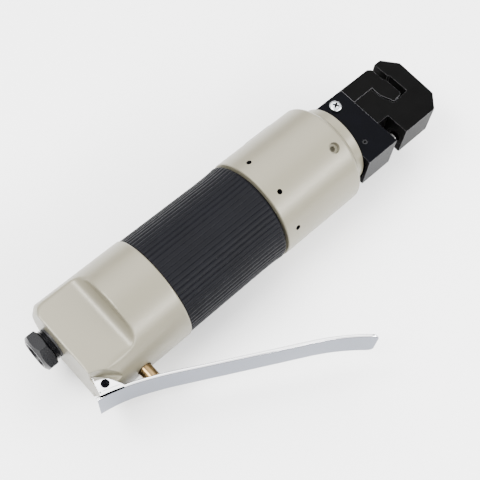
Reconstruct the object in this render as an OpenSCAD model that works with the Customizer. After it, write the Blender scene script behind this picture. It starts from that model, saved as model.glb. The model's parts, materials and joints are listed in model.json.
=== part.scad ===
// Air-powered punch and flange tool: a long-stroke piston in a hand-held barrel
// drives a tapered rod, which swings a rocker that pushes a punch and a flange die.
// X runs along the barrel from the air inlet to the jaws, +Y points away from the
// lever, and the origin is the centre of the inlet's mouth. All sizes in millimetres.

/* [Barrel] */
// Radius of the two painted housings
body_r = 29; // [28.5:0.25:29.5]
// Distance of the barrel's axis from the inlet's axis, towards the lever
barrel_drop = 10.5; // [10:0.25:11]
// Back face of the rear housing
rear_x = 10.4; // [10.2:0.1:10.8]
// Joint between the rear housing and the grip
grip_x = 64.5; // [64.5:0.5:65.5]
// Joint between the grip and the front housing
front_x = 130.5; // [129.5:0.5:131]
// Front face of the collar that the head turns on
collar_x = 192.7; // [192.5:0.1:192.8]
// Half thickness of the rear housing across its two flats
flat_z = 18.6; // [18:0.2:20]
// Radius of the grip at its waist
grip_r = 28.2; // [27.5:0.1:28.6]

/* [Air inlet] */
// Width across the flats of the inlet's hexagon
inlet_af = 19; // [18:0.5:20]
// Length of the hexagon
inlet_hex_l = 6.6; // [6:0.2:7.2]
// Wall radius of the threaded hole
inlet_bore_r = 5.75; // [5.5:0.05:6]
// Depth of the threaded hole
inlet_bore_l = 14; // [12:0.5:15]

/* [Power cylinder] */
// Bore radius of the cylinder
bore_r = 23; // [22.5:0.25:23.25]
// Wall of the liner
liner_wall = 2; // [1.8:0.1:2]
// Travel of the piston
piston_stroke = 26; // [24:1:26]
// Radius of the drive rod
rod_r = 7; // [6.5:0.1:7]
// Radial clearance of running fits
running = 0.05; // [0.03:0.01:0.08]

/* [Lever] */
// Pivot of the lever along the barrel
pivot_x = 14.2; // [14:0.1:14.4]
// Pivot of the lever below the barrel's axis
pivot_drop = 25.3; // [25.1:0.1:25.5]
// Thickness of the lever's strip
lever_t = 1.6; // [1.4:0.1:1.8]
// Half width of the lever over its ears
ear_z = 11.3; // [11:0.1:11.8]
// Half width of the lever at its tip
tip_z = 9.8; // [9:0.1:10.2]

/* [Head] */
// Half thickness of the head
head_z = 11; // [10.8:0.1:11.2]
// Side of the head nearest the lever
head_y0 = -24.5; // [-25:0.25:-24.25]
// Far side of the head
head_y1 = 17.8; // [17.2:0.2:18]
// Face where the jaws meet the head's base
jaw_x = 214.3; // [214.3:0.1:214.5]
// Front end of the jaws
tip_x = 253.1; // [252:0.5:254.5]
// Travel of the punch and the flange die
ram_stroke = 3.3; // [3:0.1:3.3]
// Radius of the punch's nose
punch_r = 3.2; // [2.4:0.1:3.2]

/* [Hidden] */
$fn = 64;
eps = 0.01;

// Rear end and grip
rim_chamfer = 3.2;
flat_end_x = 31.5;
cove_r = 6;
seam_chamfer = 0.5;
grip_gap = 0.2;
liner_r = bore_r + liner_wall;
liner_x0 = grip_x - 6;
liner_x1 = front_x + 4;
gasket_t = 1;

// Recess for each ear of the lever: a round-topped pocket milled through the flat
recess_x = 3.4;
recess_drop = 42.3;
recess_r = 24.6;

// Inlet bushing
inlet_neck_r = 8.3;
inlet_shank_r = 7.5;
inlet_end_x = 23.5;
inlet_turn = 18;
inlet_face_r = 8.2;
screen_x = 15;
screen_t = 0.8;

// Throttle valve, on an axis along Y
valve_x = 34.3;
chamber_r = 7;
chamber_y0 = -14;
chamber_y1 = 17;
seat_y = -3;
seat_t = 3;
plunger_r = 3.7;
plunger_dome_y = -33.08;
bush_r = 4.8;
bush_y0 = -26.2;
passage_y = -8;
passage_r = 2.8;

// Lever strip: [length, slope angle at its end] of each stretch, from a start point
lever_start = [6.5, -29.4];
lever_slope0 = 8.5;
lever_runs = [[20, 24], [20, 29.3], [64, 28.7], [33, 43]];
lever_step = 3.5;
ear_t = 1.6;
lever_pin_r = 2;
tongue_z = ear_z - ear_t - 0.2;

// Front housing
vent_x = 137.4;
vent_r = 1.3;
bulkhead_x = 142.5;
bush_x1 = 154.5;
spigot_x = 160.5;
shoulder_x = 186.3;
shoulder_r = 24.6;
collar_r = 22.7;
spigot_r = 17.5;
oring_x = 166.5;
oring_l = 2.4;
spigot_slot_l = 10.9;
spigot_screw_l = 9.2;
groove_x = 176.2;
groove_depth = 1.2;
lock_angle = 112.5;
lock_r = 3.05;
plate_x0 = 150.5;
plate_x1 = 169.5;
plate_z = 11.4;

// Piston and rod
piston_x = 62.5;
piston_l = 12;
rod_tail_r = 5;
cone_x0 = 162;
cone_l = 22;
cone_tip_r = 1;

// Head base, with the cavity for the rocker and the ram
base_x = collar_x + 0.2;
wall_x = jaw_x - 1.6;
cavity_z = 6.8;
cavity_y0 = -22.9;
cavity_y1 = 14.9;
rocker_x = 200.3;
rocker_y = -13.9;
rocker_z = 6.4;
rocker_pin_r = 1.5;
roller_at = [rocker_x - 9.5, rocker_y + 9];
roller_r = 4;
roller_z = 4;
lobe_at = [rocker_x + 1.5, rocker_y - 6.2];
lobe_r = 2.4;
ram_x = 204.4;
ram_t = 4.8;
punch_y = -18.5;
punch_x1 = 220.3;
punch_shank_r = 3.5;
die_x = jaw_x + 7.8;
die_t = 6;
die_r = 5.2;
jaw_screw_z = 8.9;
jaw_screw_y = -1.5;
jaw_z0 = -8.8;
jaw_screw_l = 11.2;
web_x1 = jaw_x + 13.5;
grease_x = 204.1;
grease_y = 11.9;
grease_r = 3.5;
flange_y = 7.6;
flange_x1 = 237.5;
flange_step = 1;
die_screw_x1 = jaw_x + 6.2;

// ---- Helpers -------------------------------------------------------------

// Moves a shape drawn about the barrel's axis to its place beside the inlet
module on_barrel() {
    translate([0, -barrel_drop, 0]) children();
}

module along_x(x0, x1, r, r1 = -1) {
    translate([x0, 0, 0]) rotate([0, 90, 0])
        cylinder(h = x1 - x0, r1 = r, r2 = r1 < 0 ? r : r1);
}

module along_y(x, y0, y1, r) {
    translate([x, y0, 0]) rotate([-90, 0, 0]) cylinder(h = y1 - y0, r = r);
}

module along_z(x, y, z0, z1, r) {
    translate([x, y, z0]) cylinder(h = z1 - z0, r = r);
}

module ring_x(x0, x1, outer, inner) {
    difference() {
        along_x(x0, x1, outer);
        along_x(x0 - 1, x1 + 1, inner);
    }
}

// Turns a profile of [x, radius] points about the X axis
module turned(profile) {
    rotate([0, 90, 0]) rotate_extrude()
        polygon([for (p = profile) [p[1], p[0]]]);
}

module box(x, y, z) {
    translate([x[0], y[0], z[0]]) cube([x[1] - x[0], y[1] - y[0], z[1] - z[0]]);
}

// A radial hole or pin through the barrel's wall at an angle from +Y towards +Z
module radial(x, angle, r0, r1, r) {
    translate([x, 0, 0]) rotate([angle, 0, 0]) translate([0, r0, 0])
        rotate([-90, 0, 0]) cylinder(h = r1 - r0, r = r);
}

// Coil spring along X, swept as one closed tube
module coil(x0, length, coil_radius, wire_r, turns, sides = 8, per_turn = 16) {
    rings = turns * per_turn;
    run = length - 2 * wire_r;
    points = [for (i = [0:rings]) for (j = [0:sides - 1])
        let (a = 360 * i / per_turn, b = 360 * j / sides,
             rr = coil_radius + wire_r * cos(b))
        [x0 + wire_r + run * i / rings + wire_r * sin(b), rr * cos(a), rr * sin(a)]];
    walls = [for (i = [0:rings - 1]) for (j = [0:sides - 1])
        [i * sides + j, i * sides + (j + 1) % sides,
         (i + 1) * sides + (j + 1) % sides, (i + 1) * sides + j]];
    start_cap = [[for (j = [sides - 1:-1:0]) j]];
    end_cap = [[for (j = [0:sides - 1]) rings * sides + j]];
    polyhedron(points = points, faces = concat(walls, start_cap, end_cap));
}

// ---- Air inlet -----------------------------------------------------------

module inlet_bushing() {
    hex_r = inlet_af / 2 / cos(30);
    color([0.12, 0.12, 0.13]) difference() {
        union() {
            intersection() {
                rotate([inlet_turn, 0, 0]) rotate([0, 90, 0])
                    cylinder(h = inlet_hex_l, r = hex_r, $fn = 6);
                along_x(0, inlet_hex_l, inlet_face_r, inlet_face_r + inlet_hex_l * tan(60));
            }
            along_x(inlet_hex_l - eps, rear_x - 1, inlet_neck_r);
            along_x(rear_x - 1 - eps, inlet_end_x, inlet_shank_r);
        }
        along_x(-1, inlet_bore_l, inlet_bore_r);
        along_x(inlet_bore_l - 1, inlet_end_x + 1, 5);
    }
}

module inlet_seal() {
    color([0.08, 0.08, 0.08]) ring_x(rear_x - 1, rear_x, 8.1, inlet_shank_r);
}

module inlet_screen() {
    color("gold") difference() {
        along_x(screen_x, screen_x + screen_t, 5);
        for (a = [0:60:300])
            translate([0, 3 * cos(a), 3 * sin(a)]) along_x(screen_x - 1, screen_x + 2, 1.1);
        along_x(screen_x - 1, screen_x + 2, 1.1);
    }
}

// ---- Rear housing and throttle valve ------------------------------------

// Removes one flat with its cove, on the +Z side
module flat_cut() {
    box([rear_x - 1, flat_end_x], [-40, 40], [flat_z, 40]);
    difference() {
        box([flat_end_x - 1, flat_end_x + cove_r], [-40, 40], [flat_z, 40]);
        box([flat_end_x - 2, flat_end_x], [-40, 40], [flat_z - 1, 41]);
    }
}

// Material left under the cove's curve, on the +Z side
module cove_fill() {
    difference() {
        box([flat_end_x, flat_end_x + cove_r], [-40, 40], [flat_z - 1, 40]);
        translate([flat_end_x, -41, flat_z + cove_r]) rotate([-90, 0, 0])
            cylinder(h = 82, r = cove_r);
        box([flat_end_x - 1, flat_end_x + cove_r], [-41, 41], [flat_z + cove_r, 41]);
    }
}

// Milled slot for one ear of the lever, on the +Z side
module ear_slot() {
    along_z(recess_x, -recess_drop, tongue_z, 40, recess_r);
}

module rear_blank() {
    turned([[rear_x, 0], [rear_x, body_r - rim_chamfer], [rear_x + rim_chamfer, body_r],
            [grip_x - seam_chamfer, body_r], [grip_x, body_r - seam_chamfer], [grip_x, 0]]);
}

module rear_housing() {
    color([0.77, 0.76, 0.71]) on_barrel() difference() {
        rear_blank();
        for (side = [0, 1]) mirror([0, 0, side]) {
            difference() {
                flat_cut();
                cove_fill();
            }
            ear_slot();
        }
        translate([0, barrel_drop, 0]) {
            along_x(0, inlet_end_x, inlet_shank_r);
            along_x(inlet_end_x - 1, valve_x, 4);
        }
        along_y(valve_x, chamber_y0, chamber_y1 + 1, chamber_r);
        along_y(valve_x, chamber_y1, 40, 8);
        along_y(valve_x, bush_y0, chamber_y0 + 1, bush_r);
        along_y(valve_x, -40, bush_y0 + 1, plunger_r + 2 * running);
        translate([0, passage_y, 0]) along_x(valve_x, liner_x0, passage_r);
        along_x(liner_x0 - gasket_t, grip_x + 1, liner_r);
        along_z(pivot_x, -pivot_drop, -20, 20, lever_pin_r);
    }
}

module valve_bush() {
    color([0.62, 0.5, 0.25]) on_barrel() difference() {
        along_y(valve_x, bush_y0, chamber_y0, bush_r);
        along_y(valve_x, bush_y0 - 1, chamber_y0 + 1, plunger_r + running);
    }
}

module valve_seat() {
    color("gold") on_barrel() difference() {
        along_y(valve_x, seat_y, seat_y + seat_t, chamber_r);
        along_y(valve_x, seat_y - 1, seat_y + seat_t + 1, 3.8);
    }
}

module valve_cap() {
    color([0.15, 0.15, 0.16]) on_barrel() difference() {
        along_y(valve_x, chamber_y1 + 1, 27, 8);
        translate([valve_x, 22, 0]) rotate([-90, 0, 0]) cylinder(h = 8, r = 4, $fn = 6);
    }
}

module valve_spring() {
    color("silver") on_barrel() translate([valve_x, 0, 0]) rotate([0, 0, 90])
        coil(2.6, 15.3, 3.6, 0.45, 6);
}

// The poppet and its stem move with the plunger
module valve_poppet() {
    color("gold") on_barrel() {
        along_y(valve_x, 0.8, 2.5, 5.4);
        along_y(valve_x, -12, 0.8 + eps, 1.8);
    }
}

module poppet_seal() {
    color([0.1, 0.1, 0.1]) on_barrel() difference() {
        along_y(valve_x, 0.1, 0.8, 5.2);
        along_y(valve_x, -1, 2, 1.8);
    }
}

module throttle_plunger() {
    color([0.6, 0.45, 0.2]) on_barrel() difference() {
        union() {
            along_y(valve_x, plunger_dome_y, -8, plunger_r);
            translate([valve_x, plunger_dome_y, 0]) sphere(r = plunger_r);
        }
        along_y(valve_x, -12, -7, 1.8);
    }
}

// ---- Grip and power cylinder ---------------------------------------------

module grip_sleeve() {
    color([0.13, 0.13, 0.14]) on_barrel() turned([
        [grip_x + grip_gap, liner_r], [grip_x + grip_gap, grip_r + 0.2],
        [front_x - 16, grip_r], [front_x - 8, grip_r + 0.2],
        [front_x - 2.5, body_r - 0.2], [front_x - grip_gap, body_r - 1.2],
        [front_x - grip_gap, liner_r]]);
}

module cylinder_liner() {
    color("silver") on_barrel() ring_x(liner_x0, liner_x1, liner_r, bore_r);
}

module rear_gasket() {
    color([0.1, 0.1, 0.1]) on_barrel()
        ring_x(liner_x0 - gasket_t, liner_x0, liner_r, bore_r);
}

module front_gasket() {
    color([0.1, 0.1, 0.1]) on_barrel()
        ring_x(liner_x1, liner_x1 + gasket_t, liner_r, bore_r);
}

module piston_bumper() {
    color([0.1, 0.1, 0.1]) on_barrel()
        ring_x(liner_x0 - gasket_t, piston_x - 0.5, 20, 13);
}

module piston() {
    color("lightgrey") on_barrel() difference() {
        along_x(piston_x, piston_x + piston_l, bore_r - running);
        ring_x(piston_x + 4, piston_x + 8, bore_r + 1, 19.5);
        along_x(piston_x - 1, piston_x + piston_l + 1, rod_tail_r);
    }
}

module piston_seal() {
    color([0.1, 0.1, 0.1]) on_barrel()
        ring_x(piston_x + 4, piston_x + 8, bore_r - running, 19.5);
}

module drive_rod() {
    shoulder = piston_x + piston_l;
    color("silver") on_barrel() turned([
        [piston_x - 3, 0], [piston_x - 3, rod_tail_r], [shoulder, rod_tail_r],
        [shoulder, rod_r], [cone_x0, rod_r], [cone_x0 + cone_l, cone_tip_r],
        [cone_x0 + cone_l, 0]]);
}

module piston_nut() {
    color("silver") on_barrel() difference() {
        translate([piston_x - 3.5, 0, 0]) rotate([0, 90, 0])
            cylinder(h = 3.5, r = 8, $fn = 6);
        along_x(piston_x - 5, piston_x + 1, rod_tail_r);
    }
}

module return_spring() {
    x0 = piston_x + piston_l + 0.1;
    color("grey") on_barrel() coil(x0, bulkhead_x - 0.1 - x0, 13, 1.2, 9);
}

// ---- Front housing ---------------------------------------------------------

module front_housing() {
    color([0.77, 0.76, 0.71]) on_barrel() difference() {
        turned([[front_x, liner_r], [front_x, body_r - seam_chamfer],
                [front_x + seam_chamfer, body_r], [shoulder_x - 3.6, body_r],
                [shoulder_x, shoulder_r], [collar_x - 0.9, collar_r + 0.5],
                [collar_x, collar_r - 0.5], [collar_x, spigot_r + running],
                [spigot_x - 2, spigot_r + running], [spigot_x - 2, 10],
                [bulkhead_x, 10],
                [bulkhead_x, bore_r], [liner_x1 + gasket_t, bore_r],
                [liner_x1 + gasket_t, liner_r]]);
        for (k = [0:7]) radial(vent_x, 22.5 + 45 * k, bore_r - 3, body_r + 5, vent_r);
        radial(groove_x, lock_angle, spigot_r - 2, body_r + 5, lock_r);
    }
}

module rod_bush() {
    color([0.62, 0.5, 0.25]) on_barrel()
        ring_x(bulkhead_x, bush_x1, 10, rod_r + running);
}

module rod_seal() {
    color([0.1, 0.1, 0.1]) on_barrel() ring_x(bush_x1, bush_x1 + 3, 10, rod_r + running);
}

module seal_retainer() {
    color("silver") on_barrel() ring_x(bush_x1 + 3, bush_x1 + 4, 10, rod_r + 0.3);
}

// Cone-ended set screw that holds the head at the chosen angle
module lock_screw() {
    color([0.2, 0.2, 0.21]) on_barrel() difference() {
        union() {
            radial(groove_x, lock_angle, spigot_r + 0.4, 25, lock_r);
            radial(groove_x, lock_angle, spigot_r - 0.5, spigot_r + 0.5, 1.2);
        }
        translate([groove_x, 0, 0]) rotate([lock_angle, 0, 0]) translate([0, 22, 0])
            rotate([-90, 0, 0]) cylinder(h = 5, r = 1.73, $fn = 6);
    }
}

module name_plate() {
    color([0.1, 0.1, 0.1]) on_barrel() intersection() {
        ring_x(plate_x0, plate_x1, body_r + 0.25, body_r);
        box([plate_x0 - 1, plate_x1 + 1], [0, body_r + 2], [-plate_z, plate_z]);
    }
}

// ---- Lever -------------------------------------------------------------------

// Length along the strip's outer face up to the end of run k
function run_end(k) = k < 0 ? 0 : lever_runs[k][0] + run_end(k - 1);
lever_length = run_end(len(lever_runs) - 1);

// Slope of the strip at a distance s along it
function slope(s, k = 0) =
    (k >= len(lever_runs) - 1 || s <= run_end(k))
    ? let (a0 = k == 0 ? lever_slope0 : lever_runs[k - 1][1],
           t = (s - run_end(k - 1)) / lever_runs[k][0])
      a0 + (lever_runs[k][1] - a0) * t
    : slope(s, k + 1);

lever_count = floor(lever_length / lever_step);
function lever_s(i) = lever_length * i / lever_count;

// Points of the outer face, summed step by step
function strip_points(i, p) = i > lever_count ? [] :
    let (a = slope((lever_s(i) + lever_s(i - 1)) / 2), d = lever_length / lever_count,
         q = i == 0 ? p : p + [d * cos(a), -d * sin(a)])
    concat([q], strip_points(i + 1, q));

module strip_profile() {
    outer = strip_points(0, lever_start);
    inner = [for (i = [lever_count:-1:0])
        let (a = slope(lever_s(i))) outer[i] + lever_t * [sin(a), cos(a)]];
    polygon(concat(outer, inner));
}

// Ear, drawn about the pivot; its lower edge runs inside the strip
module ear_profile() {
    translate([pivot_x, -pivot_drop]) difference() {
        polygon([[-5.5, -3.3], [-2.9, 6.2], [-1.3, 5.3], [0.2, 4], [2.8, 0.8], [4.7, -2.7],
                 [6.2, -6], [6.9, -7.4], [5.8, -6.8], [0, -5]]);
        circle(r = lever_pin_r + running);
    }
}

// Plan of the strip, narrowing towards its clipped tip
module lever_plan() {
    tip_at = 126.1;
    waist_at = 45.5;
    clip = 1.6;
    half = [[0, ear_z], [lever_start[0], ear_z], [waist_at, (ear_z + tip_z) / 2 - 0.2],
            [tip_at - clip, tip_z], [tip_at, tip_z - clip]];
    polygon(concat(half, [for (k = [len(half) - 1:-1:0]) [half[k][0], -half[k][1]]]));
}

module lever() {
    color([0.8, 0.8, 0.83]) on_barrel() {
        intersection() {
            translate([0, 0, -ear_z]) linear_extrude(2 * ear_z) strip_profile();
            rotate([90, 0, 0]) translate([0, 0, -50]) linear_extrude(200) lever_plan();
        }
        for (side = [0, 1]) mirror([0, 0, side])
            translate([0, 0, ear_z - ear_t]) linear_extrude(ear_t) ear_profile();
    }
}

module lever_pin() {
    color([0.1, 0.1, 0.1]) on_barrel()
        along_z(pivot_x, -pivot_drop, -ear_z + 0.1, ear_z - 0.1, lever_pin_r);
}

// ---- Swivelling head ---------------------------------------------------------

module swivel_spigot() {
    color([0.25, 0.25, 0.27]) on_barrel() difference() {
        turned([[spigot_x, rod_r + 0.6], [spigot_x, spigot_r - 1], [spigot_x + 1, spigot_r],
                [oring_x, spigot_r], [oring_x, 16], [oring_x + oring_l, 16],
                [oring_x + oring_l, spigot_r],
                [groove_x - 1.8, spigot_r], [groove_x - 0.6, spigot_r - groove_depth],
                [groove_x + 1.8, spigot_r - groove_depth], [groove_x + 3, spigot_r],
                [base_x, spigot_r], [base_x, rod_r + 0.6]]);
        box([base_x - spigot_slot_l, base_x + 1], [-16.5, 1], [-cavity_z, cavity_z]);
        spigot_screw_places() {
            along_x(spigot_x - 1, spigot_x + 3, 2.6);
            along_x(spigot_x, base_x + 1, 1.5);
        }
    }
}

module swivel_ring() {
    color([0.1, 0.1, 0.1]) on_barrel() ring_x(oring_x, oring_x + oring_l, spigot_r, 16);
}

module spigot_screw_places() {
    for (y = [-9, 9], z = [-9, 9]) translate([0, y, z]) children();
}

module spigot_screws() {
    color("silver") on_barrel() spigot_screw_places() {
        along_x(spigot_x + 0.2, spigot_x + 3, 2.6);
        along_x(spigot_x + 2, base_x + spigot_screw_l, 1.5);
    }
}

module head_base() {
    color([0.09, 0.1, 0.13]) on_barrel() difference() {
        box([base_x, jaw_x], [head_y0, head_y1], [-head_z, head_z]);
        box([base_x - 1, wall_x], [cavity_y0, cavity_y1], [-cavity_z, cavity_z]);
        translate([0, punch_y, 0]) along_x(wall_x - 1, jaw_x + 1, punch_shank_r + running);
        box([wall_x - 1, jaw_x + 1], [flange_y + 1, flange_y + 7], [-6, 6]);
        spigot_screw_places() along_x(base_x - 1, base_x + spigot_screw_l, 1.5);
        for (z = [-jaw_screw_z, jaw_screw_z]) translate([0, jaw_screw_y, z]) {
            along_x(base_x - 1, jaw_x + 1, 1.5);
            along_x(base_x - 1, base_x + 2, 2);
        }
        along_z(rocker_x, rocker_y, -head_z - 1, head_z + 1, rocker_pin_r);
        along_z(grease_x, grease_y, 0, head_z + 1, 1.75);
    }
}

// The web and the jaws, seen from above
module anvil_outline() {
    polygon([[jaw_x, -10.5], [die_x, -10.5], [die_x, head_y0 + 0.3],
             [tip_x - 8.2, head_y0 + 0.3], [tip_x - 1, -16.6], [tip_x, 9],
             [tip_x - 7.2, head_y1 - 0.2], [flange_x1 + 3.8, head_y1 - 0.2],
             [flange_x1 + 3.8, flange_y], [flange_x1 + 4.8, flange_y - 1],
             [flange_x1 + 4.8, -6.2], [web_x1 + 3.1, -6.9], [web_x1 + 0.1, 1.2],
             [web_x1, flange_y - 0.3], [jaw_x, flange_y - 0.3]]);
}

module anvil_block() {
    color([0.07, 0.07, 0.07]) on_barrel() difference() {
        union() {
            translate([0, 0, jaw_z0]) linear_extrude(head_z - jaw_z0) anvil_outline();
            box([jaw_x, web_x1], [-10.5, flange_y - 0.3], [-head_z, 0]);
        }
        translate([0, punch_y, 0]) {
            along_x(die_x - 1, die_x + die_t, die_r);
            along_x(die_x + die_t - 1, tip_x + 1, 4.2);
        }
        for (z = [-jaw_screw_z, jaw_screw_z])
            translate([0, jaw_screw_y, z]) along_x(jaw_x - 1, jaw_x + jaw_screw_l, 1.5);
    }
}

module die_insert() {
    color("silver") on_barrel() translate([0, punch_y, 0])
        ring_x(die_x, die_x + die_t, die_r, punch_r + 0.1);
}

module jaw_screws() {
    color("silver") on_barrel()
        for (z = [-jaw_screw_z, jaw_screw_z]) translate([0, jaw_screw_y, z]) {
            along_x(base_x + 0.1, base_x + 2, 2);
            along_x(base_x + 1, jaw_x + jaw_screw_l, 1.5);
        }
}

// Cross-recessed pan head screw that closes the grease hole
module grease_screw() {
    color("silver") on_barrel() difference() {
        union() {
            along_z(grease_x, grease_y, 7, head_z + eps, 1.75);
            translate([grease_x, grease_y, head_z])
                cylinder(h = 1.2, r1 = grease_r, r2 = grease_r - 0.2);
            translate([grease_x, grease_y, head_z + 1.2])
                cylinder(h = 0.9, r1 = grease_r - 0.2, r2 = grease_r - 1.2);
        }
        for (a = [30, 120]) translate([grease_x, grease_y, head_z + 1.6]) rotate([0, 0, a])
            cube([3.8, 0.9, 2], center = true);
    }
}

module rocker_pin() {
    color("silver") on_barrel()
        along_z(rocker_x, rocker_y, -head_z + 0.1, head_z - 0.1, rocker_pin_r);
}

// Bar with round ends, one of the rocker's two arms
module arm(p, q, rp, rq, half) {
    translate([0, 0, -half]) linear_extrude(2 * half) hull() {
        translate(p) circle(r = rp, $fn = 32);
        translate(q) circle(r = rq, $fn = 32);
    }
}

module rocker() {
    pivot = [rocker_x, rocker_y];
    color([0.45, 0.45, 0.48]) on_barrel() difference() {
        union() {
            arm(pivot, roller_at, 3.6, 2.8, rocker_z);
            arm(pivot, lobe_at, 3.4, lobe_r - 0.02, rocker_z);
            along_z(lobe_at[0], lobe_at[1], -rocker_z, rocker_z, lobe_r);
        }
        along_z(rocker_x, rocker_y, -10, 10, rocker_pin_r + running);
        along_z(roller_at[0], roller_at[1], -10, 10, rocker_pin_r);
        along_z(roller_at[0], roller_at[1], -roller_z - 0.2, roller_z + 0.2, roller_r + 0.4);
    }
}

module roller_pin() {
    color("silver") on_barrel()
        along_z(roller_at[0], roller_at[1], -rocker_z, rocker_z, rocker_pin_r);
}

module drive_roller() {
    color("silver") on_barrel() difference() {
        along_z(roller_at[0], roller_at[1], -roller_z, roller_z, roller_r);
        along_z(roller_at[0], roller_at[1], -10, 10, rocker_pin_r + running);
    }
}

// ---- Ram: the plate that carries the punch and the flange die ---------------

module ram_spring_places() {
    for (z = [-3.8, 3.8]) translate([0, -10, z]) children();
}

module ram_plate() {
    color([0.5, 0.5, 0.52]) on_barrel() difference() {
        box([ram_x, ram_x + ram_t], [-22.4, 14.5], [-6.5, 6.5]);
        along_x(ram_x - 1, ram_x + ram_t + 1, 3);
        translate([0, punch_y, 0]) {
            along_x(ram_x - 1, ram_x + 2, 3.9);
            along_x(ram_x, ram_x + ram_t + 1, punch_shank_r);
        }
        translate([0, flange_y + 4, 0]) {
            along_x(ram_x - 1, ram_x + 2, 2.9);
            along_x(ram_x, ram_x + ram_t + 1, 2);
        }
        ram_spring_places() along_x(ram_x + 1, ram_x + ram_t + 1, 2.1);
    }
}

module punch() {
    color("silver") on_barrel() translate([0, punch_y, 0]) {
        along_x(ram_x, ram_x + 2, 3.9);
        along_x(ram_x + 2 - eps, jaw_x + 2.2, punch_shank_r);
        along_x(jaw_x + 2.2 - eps, punch_x1, punch_r);
    }
}

module flange_die() {
    color([0.08, 0.08, 0.08]) on_barrel() difference() {
        union() {
            translate([0, 0, -head_z]) linear_extrude(2 * head_z) polygon([
                [jaw_x + 0.1, flange_y], [jaw_x + 0.1, head_y1],
                [flange_x1 - 2, head_y1], [flange_x1, head_y1 - 1.6],
                [flange_x1, flange_y], [flange_x1 + flange_step, flange_y - 1],
                [flange_x1 + flange_step, -4.8], [flange_x1 - 0.4, -5.7],
                [web_x1 + 3.9, -6.2], [web_x1 + 0.9, 1.5], [web_x1 + 0.8, flange_y - 1.2],
                [web_x1 + 1.1, flange_y]]);
            box([ram_x + ram_t, jaw_x + 1], [flange_y + 1.1, flange_y + 6.9], [-5.9, 5.9]);
        }
        translate([0, flange_y + 4, 0]) along_x(ram_x, die_screw_x1, 2);
    }
}

module die_screw() {
    color("silver") on_barrel() translate([0, flange_y + 4, 0]) {
        along_x(ram_x + 0.1, ram_x + 2, 2.9);
        along_x(ram_x + 1, die_screw_x1, 2);
    }
}

module ram_springs() {
    color("grey") on_barrel() ram_spring_places()
        coil(ram_x + 1.05, wall_x - ram_x - 1.1, 1.5, 0.3, 5, 6, 12);
}

// ---- Assembly ------------------------------------------------------------------

inlet_bushing();
inlet_seal();
inlet_screen();
rear_housing();
valve_bush();
valve_seat();
valve_cap();
valve_spring();
grip_sleeve();
cylinder_liner();
rear_gasket();
front_gasket();
piston_bumper();
front_housing();
rod_bush();
rod_seal();
seal_retainer();
lock_screw();
lever_pin();
name_plate();
lever();
throttle_plunger();
valve_poppet();
poppet_seal();
piston();
piston_seal();
drive_rod();
piston_nut();
return_spring();
head_base();
swivel_spigot();
swivel_ring();
spigot_screws();
anvil_block();
die_insert();
jaw_screws();
grease_screw();
rocker_pin();
rocker();
roller_pin();
drive_roller();
ram_plate();
punch();
flange_die();
die_screw();
ram_springs();
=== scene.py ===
import json
import math

import bmesh
import bpy
from mathutils import Matrix, Vector


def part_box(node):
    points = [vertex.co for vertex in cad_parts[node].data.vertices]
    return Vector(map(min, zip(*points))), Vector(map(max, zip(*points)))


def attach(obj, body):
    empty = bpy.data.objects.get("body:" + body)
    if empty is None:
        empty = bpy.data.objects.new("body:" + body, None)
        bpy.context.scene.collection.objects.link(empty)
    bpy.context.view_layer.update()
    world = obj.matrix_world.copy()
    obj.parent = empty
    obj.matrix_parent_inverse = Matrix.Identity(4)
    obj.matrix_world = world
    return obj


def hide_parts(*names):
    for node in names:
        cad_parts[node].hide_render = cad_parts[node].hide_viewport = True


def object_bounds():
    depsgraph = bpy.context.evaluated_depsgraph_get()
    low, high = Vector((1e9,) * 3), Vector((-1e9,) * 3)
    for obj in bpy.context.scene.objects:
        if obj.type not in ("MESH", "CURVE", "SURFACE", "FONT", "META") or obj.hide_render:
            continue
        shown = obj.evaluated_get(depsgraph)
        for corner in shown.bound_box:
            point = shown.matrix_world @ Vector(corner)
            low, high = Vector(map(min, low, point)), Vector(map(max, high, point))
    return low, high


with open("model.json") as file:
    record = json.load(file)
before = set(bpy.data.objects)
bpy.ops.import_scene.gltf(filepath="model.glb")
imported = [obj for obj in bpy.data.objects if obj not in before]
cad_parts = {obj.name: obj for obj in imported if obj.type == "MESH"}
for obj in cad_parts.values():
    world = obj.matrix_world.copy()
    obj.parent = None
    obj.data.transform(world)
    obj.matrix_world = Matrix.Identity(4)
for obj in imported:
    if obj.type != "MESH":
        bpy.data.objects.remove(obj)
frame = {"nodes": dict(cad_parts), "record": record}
nodes = frame["nodes"]
cad_low, cad_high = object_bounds()

MM = 0.001

# The barrel's axis and radius, from the CAD boxes
housing_low, housing_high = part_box("front_housing")
AXIS_Y = (housing_low.y + housing_high.y) / 2
BODY_R = (housing_high.z - housing_low.z) / 2
REAR_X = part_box("rear_housing")[0].x
GRIP_X0, GRIP_X1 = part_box("grip_sleeve")[0].x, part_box("grip_sleeve")[1].x


# ---- Small helpers -----------------------------------------------------------

def node_centre(name):
    low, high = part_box(name)
    return (low + high) / 2


def link(name, mesh, *materials):
    """A new object in the scene, with a material slot for each material."""
    obj = bpy.data.objects.new(name, mesh)
    bpy.context.collection.objects.link(obj)
    for material in materials:
        mesh.materials.append(material)
    return obj


def from_bmesh(name, bm, *materials):
    """An object from a bmesh, with the faces of a closed mesh turned outwards."""
    bmesh.ops.recalc_face_normals(bm, faces=bm.faces)
    closed = all(edge.is_manifold for edge in bm.edges)
    if closed and bm.calc_volume(signed=True) < 0:
        bmesh.ops.reverse_faces(bm, faces=bm.faces)
    mesh = bpy.data.meshes.new(name)
    bm.to_mesh(mesh)
    bm.free()
    return link(name, mesh, *materials)


def activate(obj):
    for other in bpy.context.selected_objects:
        other.select_set(False)
    obj.select_set(True)
    bpy.context.view_layer.objects.active = obj


def apply_modifiers(obj):
    activate(obj)
    for modifier in list(obj.modifiers):
        bpy.ops.object.modifier_apply(modifier=modifier.name)


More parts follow.
